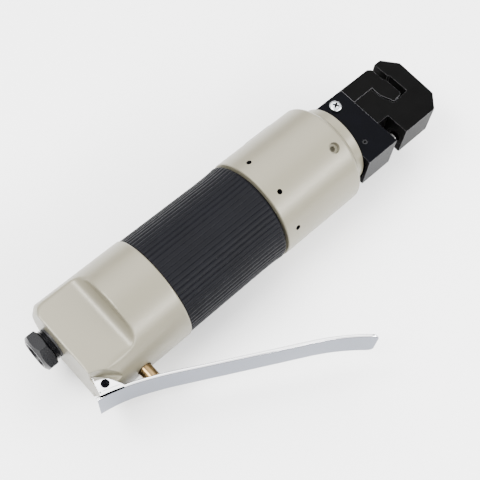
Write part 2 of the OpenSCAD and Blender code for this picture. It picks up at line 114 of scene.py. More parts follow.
def smooth(obj, angle=35):
    """Smooth shading that keeps sharp edges, with large faces left flat."""
    activate(obj)
    bpy.ops.object.shade_smooth_by_angle(angle=math.radians(angle))
    weighted = obj.modifiers.new("weighted", "WEIGHTED_NORMAL")
    weighted.keep_sharp = True
    weighted.weight = 100
    apply_modifiers(obj)


def bevel(obj, width, segments=2, angle=35, material=-1):
    modifier = obj.modifiers.new("bevel", "BEVEL")
    modifier.width = width
    modifier.segments = segments
    modifier.limit_method = "ANGLE"
    modifier.angle_limit = math.radians(angle)
    modifier.use_clamp_overlap = True
    modifier.miter_outer = "MITER_ARC"
    modifier.material = material
    apply_modifiers(obj)


def marked(cutter, slot_index):
    """The cutter, set to leave faces of a chosen material slot."""
    for polygon in cutter.data.polygons:
        polygon.material_index = slot_index
    return cutter


def cut(obj, cutter, operation="DIFFERENCE"):
    """Cuts a piece with a cutter, or keeps what they share, and removes the cutter."""
    modifier = obj.modifiers.new("cut", "BOOLEAN")
    modifier.operation = operation
    modifier.solver = "EXACT"
    modifier.object = cutter
    apply_modifiers(obj)
    bpy.data.objects.remove(cutter)


def cad_copy(name, node, *materials):
    """A welded copy of a CAD node's mesh, for edges to be rounded on."""
    bm = bmesh.new()
    bm.from_mesh(nodes[node].data)
    bmesh.ops.remove_doubles(bm, verts=bm.verts, dist=2e-6)
    bmesh.ops.dissolve_limit(bm, angle_limit=math.radians(0.5), verts=bm.verts, edges=bm.edges)
    return from_bmesh(name, bm, *materials)


def finish_piece(obj, body, slot, *replaced):
    """Attaches a piece to its body and hides the CAD nodes it stands for; the material slot is not
    used.
    """
    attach(obj, body)
    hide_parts(*replaced)


def grid_faces(bm, rows, close_rows=False, close_columns=True):
    """Quads between rows of vertices that all have the same length."""
    count = len(rows[0])
    for a, b in zip(rows, rows[1:] + (rows[:1] if close_rows else [])):
        for i in range(count if close_columns else count - 1):
            j = (i + 1) % count
            bm.faces.new((a[i], a[j], b[j], b[i]))


def turned(name, profile, segments, *materials, axis="X", at=(0, 0, 0), radius=None):
    """A closed profile of (position, radius) points turned about a line through at."""
    bm = bmesh.new()
    rows = []
    for k, (along, r) in enumerate(profile):
        row = []
        for i in range(segments):
            a = 2 * math.pi * i / segments
            rr = radius(k, r, a) if radius else r
            side = Vector((0, rr * math.cos(a), rr * math.sin(a)))
            point = Vector((along, 0, 0)) + side
            if axis == "Y":
                point = Vector((point.z, point.x, point.y))
            elif axis == "Z":
                point = Vector((point.y, point.z, point.x))
            row.append(bm.verts.new(point + Vector(at)))
        rows.append(row)
    grid_faces(bm, rows, close_rows=True)
    bmesh.ops.remove_doubles(bm, verts=bm.verts, dist=1e-7)
    return from_bmesh(name, bm, *materials)


def solid_turned(name, profile, segments, *materials, **where):
    """The same, for a solid: the profile starts and ends on the axis."""
    tiny = 1e-9
    closed = [(profile[0][0], tiny)] + list(profile) + [(profile[-1][0], tiny)]
    return turned(name, closed, segments, *materials, **where)


def rounded(corner, before, after, radius, steps=4):
    """Points of a fillet that replaces one corner of a profile."""
    c, a, b = Vector(corner), Vector(before), Vector(after)
    u, v = (a - c).normalized(), (b - c).normalized()
    half = math.acos(max(-1, min(1, u.dot(v)))) / 2
    reach = radius / math.tan(half)
    centre = c + (u + v).normalized() * (radius / math.sin(half))
    start, end = c + u * reach - centre, c + v * reach - centre
    turn = math.atan2(start.x * end.y - start.y * end.x, start.dot(end))
    points = []
    for i in range(steps + 1):
        a = turn * i / steps
        points.append((centre.x + start.x * math.cos(a) - start.y * math.sin(a),
                       centre.y + start.x * math.sin(a) + start.y * math.cos(a)))
    return points


def filleted(profile, radii):
    """A closed profile with each corner rounded by its own radius, 0 for a sharp one."""
    out = []
    count = len(profile)
    for i, (corner, radius) in enumerate(zip(profile, radii)):
        if radius == 0:
            out.append(corner)
        else:
            out += rounded(corner, profile[i - 1], profile[(i + 1) % count], radius)
    return out


def cylinder(name, start, end, radius, segments=48):
    """A round or many-sided cutter between two points."""
    start, end = Vector(start), Vector(end)
    bm = bmesh.new()
    bmesh.ops.create_cone(bm, cap_ends=True, segments=segments, radius1=radius,
                          radius2=radius, depth=(end - start).length)
    turn = (end - start).to_track_quat("Z", "Y").to_matrix().to_4x4()
    bm.transform(Matrix.Translation((start + end) / 2) @ turn)
    return from_bmesh(name, bm)


# ---- Materials ---------------------------------------------------------------

def new_material(name, colour, roughness, metallic=0.0, **sockets):
    """A shader with constant sockets, whose names have _ for each space."""
    material = bpy.data.materials.new(name)
    material.use_nodes = True
    shader = material.node_tree.nodes["Principled BSDF"]
    shader.inputs["Base Color"].default_value = (*colour, 1)
    shader.inputs["Roughness"].default_value = roughness
    shader.inputs["Metallic"].default_value = metallic
    for socket, value in sockets.items():
        shader.inputs[socket.replace("_", " ")].default_value = value
    return material


def add_node(material, kind, **values):
    """A node whose inputs or properties are set by name."""
    node = material.node_tree.nodes.new(kind)
    for key, value in values.items():
        if key in node.inputs:
            node.inputs[key].default_value = value
        else:
            setattr(node, key, value)
    return node


def noise_texture(material, scale, detail=3.0, stretch=(1, 1, 1)):
    """Noise in the object's own metres, stretched along an axis for a grain."""
    links = material.node_tree.links
    coordinates = add_node(material, "ShaderNodeTexCoord")
    mapping = add_node(material, "ShaderNodeMapping", Scale=stretch)
    noise = add_node(material, "ShaderNodeTexNoise", Scale=scale, Detail=detail)
    links.new(coordinates.outputs["Object"], mapping.inputs["Vector"])
    links.new(mapping.outputs["Vector"], noise.inputs["Vector"])
    return noise


# The part of a noise's range that a colour or a number is spread over
NOISE_LOW, NOISE_HIGH = 0.3, 0.7


def vary(material, noise, socket, low, high):
    """Links a colour or a number of the shader to a noise, between two values."""
    links = material.node_tree.links
    shader = material.node_tree.nodes["Principled BSDF"]
    if socket == "Base Color":
        colours = add_node(material, "ShaderNodeValToRGB")
        first, last = colours.color_ramp.elements
        first.position, last.position = NOISE_LOW, NOISE_HIGH
        first.color, last.color = (*low, 1), (*high, 1)
        links.new(noise.outputs["Fac"], colours.inputs["Fac"])
        links.new(colours.outputs["Color"], shader.inputs[socket])
        return
    spread = add_node(material, "ShaderNodeMapRange")
    spread.inputs["From Min"].default_value = NOISE_LOW
    spread.inputs["From Max"].default_value = NOISE_HIGH
    spread.inputs["To Min"].default_value = low
    spread.inputs["To Max"].default_value = high
    links.new(noise.outputs["Fac"], spread.inputs["Value"])
    links.new(spread.outputs["Result"], shader.inputs[socket])


def bump(material, noise, height):
    """Adds relief of a given height in metres."""
    links = material.node_tree.links
    shader = material.node_tree.nodes["Principled BSDF"]
    relief = add_node(material, "ShaderNodeBump", Strength=1.0, Distance=height)
    links.new(noise.outputs["Fac"], relief.inputs["Height"])
    links.new(relief.outputs["Normal"], shader.inputs["Normal"])


def scaled(colour, factor):
    return tuple(min(1, c * factor) for c in colour)


FINE_DETAIL = 4.0
GLOSSIEST = 0.02


def surface(name, colour, roughness, metallic=0.0, tint=0.06, patch=60, grain=1500,
            height=0.00001, spread=0.06, stretch=(1, 1, 1), **sockets):
    """A finish with faint colour patches, uneven gloss and a fine relief."""
    material = new_material(name, colour, roughness, metallic, **sockets)
    patches = noise_texture(material, patch)
    vary(material, patches, "Base Color", scaled(colour, 1 - tint), scaled(colour, 1 + tint))
    fine = noise_texture(material, grain, FINE_DETAIL, stretch)
    vary(material, fine, "Roughness", max(GLOSSIEST, roughness - spread), roughness + spread)
    bump(material, fine, height)
    return material


PAINT = surface("champagne_paint", (0.150, 0.138, 0.098), 0.36, 0.15, tint=0.015, patch=25,
                grain=900, height=0.000006, spread=0.04)
RUBBER = surface("grip_rubber", (0.0027, 0.0028, 0.0040), 0.5, tint=0.12, patch=90,
                 grain=2500, height=0.00003, spread=0.08, IOR=1.16)
BASE_STEEL = surface("blued_steel", (0.0006, 0.0007, 0.0014), 0.24, tint=0.15,
                     patch=120, grain=1800, height=0.000004, spread=0.05, IOR=1.09)
INLET_STEEL = surface("oxide_steel", (0.0034, 0.0035, 0.0045), 0.3, tint=0.15,
                      patch=120, grain=1800, height=0.000006, spread=0.06, IOR=1.28)
JAW_STEEL = surface("jaw_steel", (0.0012, 0.0012, 0.0012), 0.36, tint=0.2, patch=150,
                    grain=2600, height=0.00001, spread=0.06, IOR=1.09)
# Lighter steel for the head's bevels: rubbed edges, and painted highlight lines along them
EDGE_WEAR_AND_HIGHLIGHT = surface("edge_wear_and_painted_highlight", (0.13, 0.13, 0.135), 0.35, 0.6, tint=0.3, patch=400,
                     grain=2600, height=0.00001)
CHROME = surface("chrome", (0.93, 0.93, 0.94), 0.1, 1.0, tint=0.02, patch=40, grain=700,
                 height=0.000002, spread=0.02, stretch=(0.15, 0.15, 1))
# A darker, bluish copy of the chrome for the lever's outer face: painted shade with the tint of a
# painted reflection
CHROME_PAINTED_SHADE = surface("chrome_with_painted_shade", (0.155, 0.162, 0.185), 0.14, 1.0, tint=0.03, patch=40,
                      grain=700, height=0.000002, spread=0.03, stretch=(0.15, 0.15, 1),
                      Specular_Tint=(0.76, 0.78, 0.82, 1))
# Near-black dull steel: painted shade on the walls of grooves, holes and recesses, and a painted
# dark reflection on the lever's inner edges
PAINTED_SHADE_BLACK = surface("black_painted_shade", (0.004, 0.004, 0.005), 0.5, IOR=1.1)
STEEL = surface("ground_steel", (0.36, 0.36, 0.35), 0.36, 1.0, tint=0.06, patch=200,
                grain=1800, height=0.000006, spread=0.06, stretch=(1, 0.1, 1))
ZINC = surface("bright_zinc", (0.50, 0.52, 0.54), 0.2, 1.0, tint=0.08, patch=500,
               grain=2500, height=0.000006)
SPRING = surface("spring_wire", (0.2, 0.2, 0.22), 0.35, 1.0, tint=0.1, patch=300)
BRONZE = surface("turned_bronze", (0.17, 0.112, 0.05), 0.2, 1.0, tint=0.12, patch=250,
                 grain=1500, height=0.000004, stretch=(0.2, 1, 0.2))
BRASS = surface("turned_brass", (0.45, 0.30, 0.12), 0.25, 1.0, tint=0.08, patch=250)
ALLOY = surface("turned_alloy", (0.40, 0.41, 0.43), 0.35, 1.0, tint=0.05, patch=150,
                grain=1800, height=0.000008, stretch=(1, 0.2, 0.2))
SEAL = surface("seal_rubber", (0.004, 0.004, 0.0045), 0.5, tint=0.2, patch=200)
FOIL = surface("blank_foil", (0.006, 0.006, 0.0065), 0.35, tint=0.1, patch=100)

SLOT_MATERIALS = {
    "painted_housing": PAINT, "grip_rubber": RUBBER, "blackened_steel": BASE_STEEL,
    "jaw_steel": JAW_STEEL, "chrome": CHROME, "plain_steel": STEEL, "spring_steel": SPRING,
    "zinc": ZINC, "bronze": BRONZE, "brass": BRASS, "alloy": ALLOY, "seal_rubber": SEAL,
    "plate": FOIL,
}


def dress_cad_nodes():
    """Gives each CAD node that stays visible the finish of its slot."""
    for entry in frame["record"]["subparts"]:
        obj = nodes[entry["node"]]
        obj.data.materials.clear()
        obj.data.materials.append(SLOT_MATERIALS[entry["material_slot"]])
    nodes["die_insert"].data.materials[0] = JAW_STEEL


# ---- Rear housing ------------------------------------------------------------

VOXEL = 0.42 * MM
FLAT_Z = 18.6 * MM
FLAT_END_X = 31.5 * MM
# The ear's recess in each flat is part of a circle
RECESS_CENTRE = Vector((3.4 * MM, AXIS_Y - 42.3 * MM))
RECESS_R = 24.6 * MM
# The share of the rounding that the recess's own edge keeps
RECESS_SOFTNESS = 0.12
BLEND_STEPS, EDGE_STEPS = 110, 14
PLUNGER_X = node_centre("throttle_plunger").x


def ramp(value, start, end):
    """0 before start, 1 after end, straight between."""
    return max(0.0, min(1.0, (value - start) / (end - start)))


def edge_softness(point):
    """How far the casting's edges are rounded: none at its bores and seam."""
    radius = math.hypot(point.y - AXIS_Y, point.z)
    seam = ramp(GRIP_X0 - point.x, 1 * MM, 4 * MM)
    shell = ramp(radius, 11 * MM, 15 * MM)
    valve = ramp(math.hypot(point.x - PLUNGER_X, point.z), 9 * MM, 11 * MM)
    inlet = ramp(math.hypot(point.y, point.z), 9 * MM, 11 * MM)
    recess = abs((point.xy - RECESS_CENTRE).length - RECESS_R)
    crisp = RECESS_SOFTNESS + (1 - RECESS_SOFTNESS) * ramp(recess, 1 * MM, 4 * MM)
    return min(seam, shell, valve, inlet, crisp)


def blend_softness(point):
    """Wide blends only where the two flats run out into the barrel's sides."""
    side_y = math.sqrt(BODY_R ** 2 - FLAT_Z ** 2)
    off_y = abs(point.y - AXIS_Y) - side_y
    distance = math.hypot(off_y, abs(point.z) - FLAT_Z)
    near = 1 - ramp(distance, 5 * MM, 9 * MM)
    before_cove = ramp(FLAT_END_X - point.x, -1 * MM, 4 * MM)
    after_rim = ramp(point.x - REAR_X, 1 * MM, 4 * MM)
    recess = ramp((point.xy - RECESS_CENTRE).length, RECESS_R + 0.5 * MM, RECESS_R + 3 * MM)
    return min(near, before_cove, after_rim, recess, edge_softness(point))


def soften(obj, name, steps, weight):
    """Smooths a dense mesh by an amount that depends on the place."""
    group = obj.vertex_groups.new(name=name)
    for vertex in obj.data.vertices:
        group.add([vertex.index], weight(vertex.co), "REPLACE")
    modifier = obj.modifiers.new(name, "SMOOTH")
    modifier.iterations = steps
    modifier.factor = 0.5
    modifier.vertex_group = name
    apply_modifiers(obj)


def make_rear_housing():
    """Cast housing: the CAD shape as a dense mesh, with its edges and blends softened."""
    housing = cad_copy("rear_casting", "rear_housing", PAINT)
    remesh = housing.modifiers.new("remesh", "REMESH")
    remesh.mode = "VOXEL"
    remesh.voxel_size = VOXEL
    apply_modifiers(housing)
    soften(housing, "blends", BLEND_STEPS, blend_softness)
    soften(housing, "edges", EDGE_STEPS, edge_softness)
    housing.vertex_groups.clear()
    smooth(housing, 32)
    finish_piece(housing, "barrel", "painted_housing", "rear_housing")


# ---- Front housing -----------------------------------------------------------

def ring_cutters(name, x, angles, inner, outer, radius):
    """Round radial cutters through the barrel's wall, joined in one mesh."""
    bm = bmesh.new()
    for angle in angles:
        out = Vector((0, math.cos(angle), math.sin(angle)))
        turn = out.to_track_quat("Z", "Y").to_matrix().to_4x4()
        place = Matrix.Translation(Vector((x, AXIS_Y, 0)) + out * (inner + outer) / 2)
        bmesh.ops.create_cone(bm, cap_ends=True, segments=32, radius1=radius,
                              radius2=radius, depth=outer - inner, matrix=place @ turn)
    return from_bmesh(name, bm)


VENTS = 8
VENT_R, VENT_FROM_SEAM = 1.4 * MM, 6.9 * MM
LOCK_HOLE_R = 3.05 * MM
# How far a cutter runs past the outside of the barrel
OVERRUN = 2 * MM


def make_front_housing():
    """Cast housing with vents and the lock screw's hole. Returns that hole's angle."""
    front, collar = housing_low.x, housing_high.x
    liner_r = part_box("cylinder_liner")[1].z
    bore_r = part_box("piston_seal")[1].z
    gasket_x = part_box("front_gasket")[1].x
    bulkhead_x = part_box("rod_bush")[0].x
    bush_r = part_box("rod_bush")[1].z
    spigot_x, spigot_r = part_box("swivel_spigot")[0].x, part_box("swivel_spigot")[1].z + 0.05 * MM
    shoulder = collar - 6.4 * MM
    outline = [(front, liner_r), (front, BODY_R - 0.4 * MM), (front + 0.4 * MM, BODY_R),
               (shoulder - 3.6 * MM, BODY_R),
               (shoulder, BODY_R - 4.4 * MM), (shoulder + 0.6 * MM, BODY_R - 5.6 * MM),
               (collar, BODY_R - 6.6 * MM), (collar, spigot_r), (spigot_x - 2 * MM, spigot_r),
               (spigot_x - 2 * MM, bush_r), (bulkhead_x, bush_r), (bulkhead_x, bore_r),
               (gasket_x, bore_r), (gasket_x, liner_r)]
    radii = [0, 0.1 * MM, 0.2 * MM, 2.4 * MM, 1.0 * MM, 0.5 * MM, 0.8 * MM] + [0] * 7
    housing = turned("front_casting", filleted(outline, radii), 192, PAINT,
                     PAINTED_SHADE_BLACK, at=(0, AXIS_Y, 0))
    turns = [2 * math.pi * (k + 0.5) / VENTS for k in range(VENTS)]
    vents = ring_cutters("vents", front + VENT_FROM_SEAM, turns, bore_r - 3 * MM,
                         BODY_R + OVERRUN, VENT_R)
    # The vents' walls take the second material, black painted shade
    cut(housing, marked(vents, 1))
    screw = node_centre("lock_screw")
    angle = math.atan2(screw.z, screw.y - AXIS_Y)
    cut(housing, ring_cutters("lock_hole", screw.x, [angle], spigot_r - 2 * MM,
                              BODY_R + OVERRUN, LOCK_HOLE_R))
    smooth(housing, 32)
    finish_piece(housing, "barrel", "painted_housing", "front_housing")
    return angle


def make_lock_screw(angle):
    """Socket set screw, sunk in its hole in the front housing."""
    depth, length, radius = 26.6 * MM, 8 * MM, 3.0 * MM
    threads, pitch = 4, 1.0 * MM
    point_end = depth - length + 1.6 * MM
    screw = node_centre("lock_screw")
    profile = [(depth - length, 1.0 * MM), (point_end, radius - 0.3 * MM)]
    for k in range(threads):
        x = point_end + k * pitch
        profile += [(x + 0.3 * MM, radius), (x + 0.8 * MM, radius - 0.35 * MM)]
    profile += [(depth - 0.15 * MM, radius), (depth, radius - 0.15 * MM)]
    piece = solid_turned("lock_set_screw", profile, 48, PAINT)
    socket = cylinder("socket", (depth - 2.4 * MM, 0, 0), (depth + MM, 0, 0), 1.7 * MM, 6)
    cut(piece, socket)
    place = Matrix.Translation((screw.x, AXIS_Y, 0)) @ Matrix.Rotation(angle, 4, "X")
    piece.data.transform(place @ Matrix.Rotation(math.radians(90), 4, "Z"))
    smooth(piece, 30)
    finish_piece(piece, "barrel", "blackened_steel", "lock_screw")


# ---- Ribbed grip -------------------------------------------------------------

RIBS = 66
RIB_DEPTH = 0.47 * MM
# The height of a rib across one pitch, as a share of its depth
RIB_SHAPE = [0.0, 0.75, 1.0, 1.0, 1.0, 0.75]
END_FADE = 0.35


def make_grip():
    """Rubber sleeve with square-topped ribs along it, waisted and flared in front."""
    liner_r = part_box("cylinder_liner")[1].z
    x0, x1 = GRIP_X0, GRIP_X1
    waist = BODY_R - 0.8 * MM
    crest = [(x0, waist + 0.1 * MM), (x0 + 0.25 * MM, waist + 0.2 * MM)]
    steps = 22
    flare_from = x1 - 16 * MM
    for i in range(1, steps):
        x = x0 + (flare_from - x0) * i / steps
        crest.append((x, waist + 0.2 * MM * (1 - i / steps)))
    crest += [(flare_from, waist), (x1 - 12 * MM, waist + 0.08 * MM),
              (x1 - 8 * MM, waist + 0.2 * MM), (x1 - 4.5 * MM, waist + 0.42 * MM),
              (x1 - 2.9 * MM, waist + 0.6 * MM), (x1 - 1.8 * MM, waist + 0.3 * MM),
              (x1 - 1.15 * MM, waist - 0.5 * MM)]
    profile = [(x0, liner_r)] + crest
    profile += [(x1 - 1.1 * MM, liner_r + MM), (x1, liner_r + 0.8 * MM), (x1, liner_r)]
    last_rib = len(crest)
    facets = RIBS * len(RIB_SHAPE)

    def rib(k, r, angle):
        """The radius with the ribs: only the crest's points have them."""
        if not 1 <= k <= last_rib:
            return r
        step = round(angle / (2 * math.pi) * facets) % len(RIB_SHAPE)
        fade = END_FADE if k in (1, last_rib) else 1.0
        return r - RIB_DEPTH * (1 - RIB_SHAPE[step]) * fade

    grip = turned("ribbed_grip", profile, facets, RUBBER, at=(0, AXIS_Y, 0), radius=rib)
    smooth(grip, 50)
    finish_piece(grip, "barrel", "grip_rubber", "grip_sleeve")


# ---- Air inlet ---------------------------------------------------------------

def thread_profile(x0, x1, radius, pitch, depth):
    """Points of a sawn row of rounded ridges between x0 and x1."""
    count = max(1, round((x1 - x0) / pitch))
    step = (x1 - x0) / count
    points = []
    for k in range(count):
        x = x0 + k * step
        points += [(x + 0.15 * step, radius), (x + 0.4 * step, radius + depth),
                   (x + 0.6 * step, radius + depth), (x + 0.85 * step, radius)]
    return points


HEX_FLATS = 19 * MM
# Where the hexagon's first corner lies, about the inlet's axis
HEX_TURN = math.radians(18 - 90)


def make_inlet():
    """Hexagonal bushing: chamfered ends, a grooved neck and a threaded mouth."""
    low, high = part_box("inlet_bushing")
    corner_r = HEX_FLATS / 2 / math.cos(math.radians(30))
    hex_end, neck_end = 6.6 * MM, REAR_X - MM
    neck_r, shank_r, bore_r = 8.3 * MM, 7.5 * MM, 5.75 * MM
    bore_end = 14 * MM
    outer = [(0.0, bore_r + 1.0 * MM), (0.0, 7.9 * MM), (0.35 * MM, 8.35 * MM),
             (1.9 * MM, corner_r + 0.2 * MM), (hex_end - 1.0 * MM, corner_r + 0.2 * MM),
             (hex_end - 0.1 * MM, 9.3 * MM), (hex_end, 9.0 * MM), (hex_end, neck_r - 0.7 * MM)]
    outer += thread_profile(hex_end, neck_end, neck_r - 0.7 * MM, 0.95 * MM, 0.65 * MM)
    outer += [(neck_end, shank_r), (high.x - MM, shank_r), (high.x, shank_r - MM)]
    inner = [(high.x, 5 * MM), (bore_end, 5 * MM), (bore_end, bore_r + 0.5 * MM)]
    inner += thread_profile(1.2 * MM, bore_end, bore_r + 0.6 * MM, 1.35 * MM, -0.6 * MM)[::-1]
    bushing = turned("inlet_hexagon", outer + inner, 96, INLET_STEEL)
    hexagon = cylinder("hexagon", (low.x - MM, 0, 0), (high.x + MM, 0, 0), corner_r, 6)
    corners = [math.atan2(v.co.z, v.co.y) for v in hexagon.data.vertices]
    hexagon.data.transform(Matrix.Rotation(HEX_TURN - min(corners), 4, "X"))
    cut(bushing, hexagon, "INTERSECT")
    bevel(bushing, 0.16 * MM, 1, 45)
    smooth(bushing, 30)
    finish_piece(bushing, "barrel", "blackened_steel", "inlet_bushing")


# ---- Throttle lever ----------------------------------------------------------

LEVER_X0 = 6.5 * MM
LEVER_START = Vector((LEVER_X0, AXIS_Y - 29.4 * MM))
# Slope in degrees by distance along the strip, and half width by x from its start, in mm
LEVER_SLOPES = [(0, 8.5), (20, 24), (40, 29.3), (104, 28.7), (137, 43)]
LEVER_WIDTHS = [(0, 11.3), (45, 10.35), (126, 9.8)]
LEVER_THICK = 1.6 * MM
LEVER_EDGE_R, TIP_R = 0.7 * MM, 2.6 * MM
# The lever's material slots after its chrome: the darker chrome of painted shade on its outer
# face, and the black of painted shade and painted reflection in its grooves and on its inner edges
SHADED_FACE_SLOT, SHADE_SLOT = 1, 2


def between(table, value):
    """Straight-line reading of a table of (place, value)."""
    for (a, low), (b, high) in zip(table, table[1:]):
        if value <= b:
            return low + (high - low) * (value - a) / (b - a)
    return table[-1][1]


def lever_stations(step=0.8):
    """Places along the strip's outer face: (x, y), slope and distance in mm."""
    length = LEVER_SLOPES[-1][0]
    count = int(length / step)
    step = length / count
    place = LEVER_START.copy()
    stations = []
    for i in range(count + 1):
        slope = math.radians(between(LEVER_SLOPES, i * step))
        stations.append((place.copy(), slope, i * step))
        middle = math.radians(between(LEVER_SLOPES, (i + 0.5) * step))
        place += Vector((math.cos(middle), -math.sin(middle))) * step * MM
    return stations


def strip_section(half, thick, edge, steps=4):
    """Rounded cross-section of the strip: (z, height above the outer face)."""
    corners = [(half - edge, edge, -90), (half - edge, thick - edge, 0),
               (-half + edge, thick - edge, 90), (-half + edge, edge, 180)]
    points = []
    for z, height, start in corners:
        for i in range(steps + 1):
            a = math.radians(start + 90 * i / steps)
            points.append((z + edge * math.cos(a), height + edge * math.sin(a)))
    return points


def lever_half(x, tip):
    """Half width of the strip, clipped round at its tip."""
    half = between(LEVER_WIDTHS, (x - LEVER_X0) / MM) * MM
    over = x - (tip - TIP_R)
    if over > 0:
        half -= TIP_R - math.sqrt(max(0, TIP_R ** 2 - min(over, TIP_R) ** 2))
    return half


def above_strip(station, height):
    """A point at a height over the strip's outer face."""
    place, slope, _ = station
    return place + Vector((math.sin(slope), math.cos(slope))) * height


def make_strip(tip):
    """The bent strip, kept inside the CAD lever's box."""
    bm = bmesh.new()
    rows = []
    for station in lever_stations():
        half = lever_half(station[0].x, tip)
        section = strip_section(half, LEVER_THICK, LEVER_EDGE_R)
        rows.append([bm.verts.new((*above_strip(station, h), z)) for z, h in section])
    grid_faces(bm, rows)
    bm.faces.new(rows[0][::-1])
    bm.faces.new(rows[-1])
    strip = from_bmesh("lever_strip", bm, CHROME, CHROME_PAINTED_SHADE, PAINTED_SHADE_BLACK)
    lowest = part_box("lever")[0].y
    for vertex in strip.data.vertices:
        vertex.co.y = max(vertex.co.y, lowest)
    # Faces turned away from the barrel take the darker chrome, painted shade; rounded edges turned
    # towards the barrel and sideways take the black, a painted dark reflection line
    for polygon in strip.data.polygons:
        if polygon.normal.y < -0.6:
            polygon.material_index = SHADED_FACE_SLOT
        elif polygon.normal.y > 0.3 and abs(polygon.normal.z) > 0.3:
            polygon.material_index = SHADE_SLOT
    return strip


# The ear's outline about the pin's axis, in mm
EAR_OUTLINE = [(-5.3, -4.3), (-5.2, -3.0), (-2.9, 6.2), (-2.5, 6.35), (-1.3, 5.4), (0.2, 4.0),
               (1.6, 2.4), (2.8, 0.7), (3.8, -1.0), (4.7, -2.9), (5.6, -4.7), (6.3, -6.5),
               (6.4, -7.0), (3, -6.1), (-2, -4.9)]
EAR_Z = 11.3 * MM
# Grooves in its face: distance along the strip, lower and upper height over it, in mm
FOLD = [(1.2, 0.35, 1.45), (14.2, -0.2, 0.5)]
CREASE = [(3.6, 2.75, 2.95), (12.6, 2.1, 2.25)]
FOLD_DEPTH, CREASE_DEPTH = 0.9 * MM, 0.2 * MM
PIN_HOLE_R = 2.15 * MM
# A punched dot beside the pin
DOT_OFFSET = Vector((-4.3 * MM, -1.8 * MM, 0))
DOT_R, DOT_DEPTH = 0.4 * MM, 0.5 * MM


def groove_cutter(name, ends, depth):
    """A thin curved wedge along the strip that cuts a groove in the ear's face, its walls painted
    black as shade.
    """
    (start, low0, high0), (end, low1, high1) = ends
    bm = bmesh.new()
    rows = []
    for station in lever_stations():
        distance = station[2]
        if start <= distance <= end:
            share = (distance - start) / (end - start)
            low = above_strip(station, (low0 + (low1 - low0) * share) * MM)
            high = above_strip(station, (high0 + (high1 - high0) * share) * MM)
            z0, z1 = EAR_Z - depth, EAR_Z + MM
            rows.append([bm.verts.new((*point, z))
                         for point, z in ((low, z0), (low, z1), (high, z1), (high, z0))])
    grid_faces(bm, rows)
    bm.faces.new(rows[0][::-1])
    bm.faces.new(rows[-1])
    return marked(from_bmesh(name, bm), SHADE_SLOT)


def mirrored(obj):
    """The same piece on the other side of the z = 0 plane."""
    obj.data.transform(Matrix.Scale(-1, 4, (0, 0, 1)))
    obj.data.flip_normals()
    return obj


def make_ear(pivot):
    """One folded ear with the pin's hole, its foot sunk into the strip."""
    bm = bmesh.new()
    ring = [bm.verts.new((pivot.x + x * MM, pivot.y + y * MM, EAR_Z - LEVER_THICK))
            for x, y in EAR_OUTLINE]
    outline = bm.faces.new(ring)
    extruded = bmesh.ops.extrude_face_region(bm, geom=[outline])["geom"]
    bmesh.ops.translate(bm, vec=(0, 0, LEVER_THICK),
                        verts=[g for g in extruded if isinstance(g, bmesh.types.BMVert)])
    ear = from_bmesh("ear", bm, CHROME, CHROME_PAINTED_SHADE, PAINTED_SHADE_BLACK)
    bevel(ear, 0.3 * MM, 3, 30)
    face = Vector((pivot.x, pivot.y, EAR_Z))
    up = Vector((0, 0, 1))
    cut(ear, cylinder("pin_hole", face - up * EAR_Z, face + up * EAR_Z, PIN_HOLE_R))
    cut(ear, groove_cutter("fold", FOLD, FOLD_DEPTH))
    cut(ear, groove_cutter("crease", CREASE, CREASE_DEPTH))
    # The dot's walls take the black, painted shade
    dot = cylinder("dot", face + DOT_OFFSET - up * DOT_DEPTH, face + DOT_OFFSET + up * MM,
                   DOT_R, 16)
    cut(ear, marked(dot, SHADE_SLOT))
    return ear


def make_lever():
    """Chromed strip and its two ears, joined as one piece."""
    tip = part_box("lever")[1].x
    pivot = node_centre("lever_pin")
    strip = make_strip(tip)
    # Fold grooves along the strip's sides, their walls black painted shade
    cut(strip, groove_cutter("fold", FOLD, FOLD_DEPTH))
    cut(strip, mirrored(groove_cutter("fold", FOLD, FOLD_DEPTH)))
    ears = [make_ear(pivot), mirrored(make_ear(pivot))]
    activate(strip)
    for ear in ears:
        ear.select_set(True)
    bpy.ops.object.join()
    strip.name = "chrome_lever"
    smooth(strip, 40)
    finish_piece(strip, "lever", "chrome", "lever")


def make_lever_pin():
    """Cross pin with domed, centre-marked ends."""
    pivot = node_centre("lever_pin")
    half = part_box("lever_pin")[1].z
    radius = 2.0 * MM
    end = [(half - 0.35 * MM, radius), (half - 0.1 * MM, radius - 0.2 * MM), (half, 1.3 * MM),
           (half - 0.1 * MM, 0.7 * MM), (half - 0.5 * MM, 0.2 * MM)]
    profile = [(-z, r) for z, r in end[::-1]] + end
    pin = solid_turned("pivot_pin", profile, 48, BASE_STEEL, axis="Z",
                       at=(pivot.x, pivot.y, 0))
    smooth(pin, 35)
    finish_piece(pin, "barrel", "blackened_steel", "lever_pin")


# ---- Throttle plunger --------------------------------------------------------

def make_plunger():
    """Bronze plunger with a low domed nose, pressed by the lever."""
    low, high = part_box("throttle_plunger")
    centre = node_centre("throttle_plunger")
    radius = (high.z - low.z) / 2
    steps, rise = 10, 1.5 * MM
    arc = [math.pi / 2 * i / steps for i in range(1, steps + 1)]
    dome = [(low.y + rise * (1 - math.cos(a)), radius * math.sin(a)) for a in arc]
    profile = dome + [(high.y - 0.5 * MM, radius), (high.y, radius - 0.5 * MM),
                      (high.y, 1.9 * MM), (high.y - 4 * MM, 1.9 * MM)]
    plunger = solid_turned("bronze_plunger", profile, 64, BRONZE, axis="Y",
                           at=(centre.x, 0, 0))
    smooth(plunger, 35)
    finish_piece(plunger, "throttle", "bronze", "throttle_plunger")


# ---- Head and jaws -----------------------------------------------------------

BASE_BEVEL, JAW_BEVEL = 0.3 * MM, 0.32 * MM
